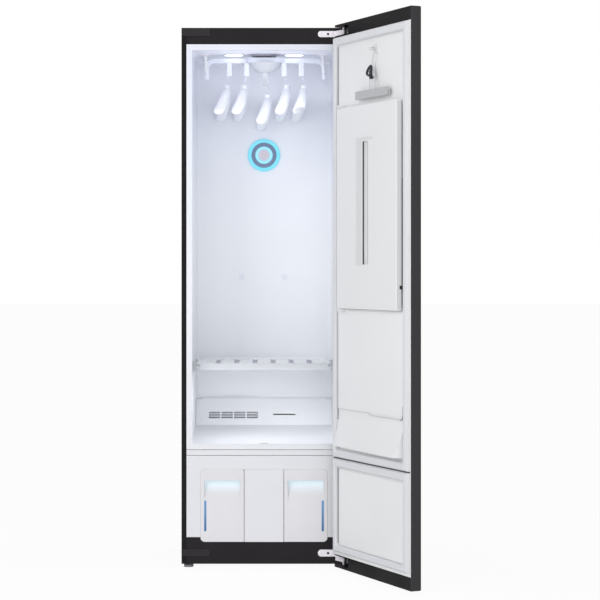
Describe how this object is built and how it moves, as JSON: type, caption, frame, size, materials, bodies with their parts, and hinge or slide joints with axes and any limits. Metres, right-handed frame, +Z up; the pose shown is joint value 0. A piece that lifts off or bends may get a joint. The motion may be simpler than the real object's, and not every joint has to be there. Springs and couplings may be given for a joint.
{
  "type": "clothes care steam cabinet",
  "caption": "Tall free-standing clothes steaming cabinet with an open hinged mirror door, a moving hanger rail, a shelf, a trouser press and two pull-out water tanks.",
  "frame": {"origin": "on the floor, under the middle of the case", "axes": "+Z up, +Y to the cabinet's back, +X to the right seen from the front"},
  "size_m": [0.8256, 1.1193, 1.966],
  "materials": {
    "case_steel": "satin",
    "rail_steel": "satin",
    "zinc_sheet": "matte",
    "liner_white": "satin",
    "lamp_glow": "frosted, lit",
    "hinge_steel": "satin",
    "filter_grey": "matte",
    "ring_light": "frosted, lit",
    "bezel_grey": "satin",
    "cap_grey": "matte",
    "shelf_white": "satin",
    "support_grey": "matte",
    "rail_metal": "gloss",
    "drive_metal": "matte",
    "arm_metal": "satin",
    "tank_white": "satin",
    "foot_black": "matte",
    "compressor_black": "satin",
    "coil_aluminium": "satin",
    "fan_plastic": "matte",
    "hose_rubber": "matte",
    "inlet_black": "matte",
    "mirror_glass": "dark mirror",
    "door_steel": "satin",
    "door_plastic": "satin",
    "gasket_rubber": "matte",
    "fitting_plastic": "satin",
    "press_plastic": "satin",
    "hanger_wire": "gloss",
    "lever_black": "satin",
    "hanger_plastic": "gloss"
  },
  "bodies": {
    "cabinet": {"side_panel_left": "case_steel", "side_panel_right": "case_steel", "top_cover": "case_steel", "rear_cover": "zinc_sheet", "base_tray": "zinc_sheet", "front_rails": "rail_steel", "chamber_liner": "liner_white", "divider_bar": "liner_white", "lower_front_panel": "liner_white", "tank_bay": "liner_white", "centre_cover": "liner_white", "lamp_lenses": "lamp_glow", "corner_covers": "rail_steel", "hinge_brackets": "hinge_steel", "hinge_pins": "hinge_steel", "hinge_screws": "hinge_steel", "duct_cover": "liner_white", "nozzle_light_ring": "ring_light", "nozzle_bezel": "bezel_grey", "nozzle_cap": "cap_grey", "shelf_supports": "support_grey", "drive_motor": "drive_metal", "swing_brackets": "hinge_steel", "rear_feet": "foot_black", "compressor": "compressor_black", "heat_exchangers": "coil_aluminium", "fan_housing": "fan_plastic", "fan_motor": "drive_metal", "steam_generator": "drive_metal", "steam_hose": "hose_rubber", "water_pumps": "drive_metal", "control_box": "drive_metal", "power_inlet": "inlet_black"},
    "door": {"door_glass": "mirror_glass", "door_frame": "door_steel", "door_liner": "door_plastic", "door_gaskets": "gasket_rubber", "door_fittings": "fitting_plastic"},
    "press": {"press_panel": "press_plastic"},
    "latch": {"press_latch": "press_plastic"},
    "trouser_hanger": {"trouser_hanger": "hanger_wire"},
    "clamp_bar": {"clamp_bar": "hanger_wire"},
    "clamp_lever": {"clamp_lever": "lever_black"},
    "rail": {"hanger_rail": "rail_metal", "rail_cover": "liner_white"},
    "swing_left": {"swing_arm_left": "arm_metal"},
    "swing_right": {"swing_arm_right": "arm_metal"},
    "crank": {"drive_crank": "drive_metal"},
    "hanger_1": {"garment_hanger_1": "hanger_plastic"},
    "hanger_2": {"garment_hanger_2": "hanger_plastic"},
    "hanger_3": {"garment_hanger_3": "hanger_plastic"},
    "hanger_4": {"garment_hanger_4": "hanger_plastic"},
    "hanger_5": {"garment_hanger_5": "hanger_plastic"},
    "shelf": {"shelf": "shelf_white"},
    "supply_tank": {"supply_tank": "tank_white"},
    "drain_tank": {"drain_tank": "tank_white"},
    "lint_filter": {"lint_filter": "filter_grey"},
    "fan": {"fan_rotor": "fan_plastic"},
    "foot_left": {"front_foot_left": "foot_black"},
    "foot_right": {"front_foot_right": "foot_black"}
  },
  "joints": [
    {"name": "door_hinge", "type": "hinge", "parent": "cabinet", "child": "door", "pos_m": [0.287, -0.3055, 1], "axis": [0, 0, 1], "range_deg": [-113, 0]},
    {"name": "press_hinge", "type": "hinge", "parent": "door", "child": "press", "pos_m": [0.27288, -0.40275, 1.3], "axis": [0, 0, -1], "range_deg": [0, 85]},
    {"name": "press_latch", "type": "slide", "parent": "press", "child": "latch", "axis": [-0.3907, 0.9205, 0], "range_m": [0, 0.003], "stiffness_N_per_m": 300},
    {"name": "trouser_lift", "type": "slide", "parent": "door", "child": "trouser_hanger", "axis": [0, 0, 1], "range_m": [0, 0.012]},
    {"name": "clamp_lever", "type": "hinge", "parent": "trouser_hanger", "child": "clamp_lever", "pos_m": [0.37463, -0.63223, 1.747], "axis": [0.3907, -0.9205, 0], "range_deg": [0, 60]},
    {"name": "clamp_bar", "type": "hinge", "parent": "trouser_hanger", "child": "clamp_bar", "pos_m": [0.36957, -0.63438, 1.701], "axis": [-0.3907, 0.9205, 0], "range_deg": [0, 15]},
    {"name": "rail_slide", "type": "slide", "parent": "cabinet", "child": "rail", "axis": [1, 0, 0], "range_m": [-0.02, 0.01]},
    {"name": "swing_left", "type": "hinge", "parent": "cabinet", "child": "swing_left", "pos_m": [-0.219, -0.026, 1.88], "axis": [0, -1, 0], "range_deg": [-17.5, 8.8]},
    {"name": "swing_right", "type": "hinge", "parent": "cabinet", "child": "swing_right", "pos_m": [0.219, -0.026, 1.88], "axis": [0, -1, 0], "range_deg": [-17.5, 8.8]},
    {"name": "crank", "type": "hinge", "parent": "cabinet", "child": "crank", "pos_m": [0, -0.0125, 1.88], "axis": [0, 0, 1], "range_deg": [-57.5, 28.8]},
    {"name": "hanger_1_swing", "type": "hinge", "parent": "rail", "child": "hanger_1", "pos_m": [-0.13, -0.0125, 1.822], "axis": [1, 0, 0], "range_deg": [-6, 6]},
    {"name": "hanger_2_swing", "type": "hinge", "parent": "rail", "child": "hanger_2", "pos_m": [-0.065, -0.0125, 1.822], "axis": [1, 0, 0], "range_deg": [-6, 6]},
    {"name": "hanger_3_swing", "type": "hinge", "parent": "rail", "child": "hanger_3", "pos_m": [0.005, -0.0125, 1.787], "axis": [1, 0, 0], "range_deg": [-6, 6]},
    {"name": "hanger_4_swing", "type": "hinge", "parent": "rail", "child": "hanger_4", "pos_m": [0.075, -0.0125, 1.822], "axis": [1, 0, 0], "range_deg": [-6, 6]},
    {"name": "hanger_5_swing", "type": "hinge", "parent": "rail", "child": "hanger_5", "pos_m": [0.14, -0.0125, 1.822], "axis": [1, 0, 0], "range_deg": [-6, 6]},
    {"name": "shelf_slide", "type": "slide", "parent": "cabinet", "child": "shelf", "axis": [0, -1, 0], "range_m": [0, 0.11]},
    {"name": "supply_tank_slide", "type": "slide", "parent": "cabinet", "child": "supply_tank", "axis": [0, -1, 0], "range_m": [0, 0.25]},
    {"name": "drain_tank_slide", "type": "slide", "parent": "cabinet", "child": "drain_tank", "axis": [0, -1, 0], "range_m": [0, 0.25]},
    {"name": "filter_pull", "type": "slide", "parent": "cabinet", "child": "lint_filter", "axis": [0, 0, 1], "range_m": [0, 0.085]},
    {"name": "fan_spin", "type": "hinge", "parent": "cabinet", "child": "fan", "pos_m": [-0.205, 0.1, 0.1], "axis": [0, 1, 0], "continuous": true},
    {"name": "foot_left_turn", "type": "hinge", "parent": "cabinet", "child": "foot_left", "pos_m": [-0.2745, -0.2385, 0.01], "axis": [0, 0, 1], "range_deg": [-180, 180]},
    {"name": "foot_right_turn", "type": "hinge", "parent": "cabinet", "child": "foot_right", "pos_m": [0.2745, -0.2385, 0.01], "axis": [0, 0, 1], "range_deg": [-180, 180]}
  ],
  "couplings": [
    {"joint": "swing_left", "follows": "rail_slide", "rad_per_m": 15.152},
    {"joint": "swing_right", "follows": "rail_slide", "rad_per_m": 15.152},
    {"joint": "crank", "follows": "rail_slide", "rad_per_m": 50},
    {"joint": "clamp_bar", "follows": "clamp_lever", "ratio": 0.25}
  ]
}
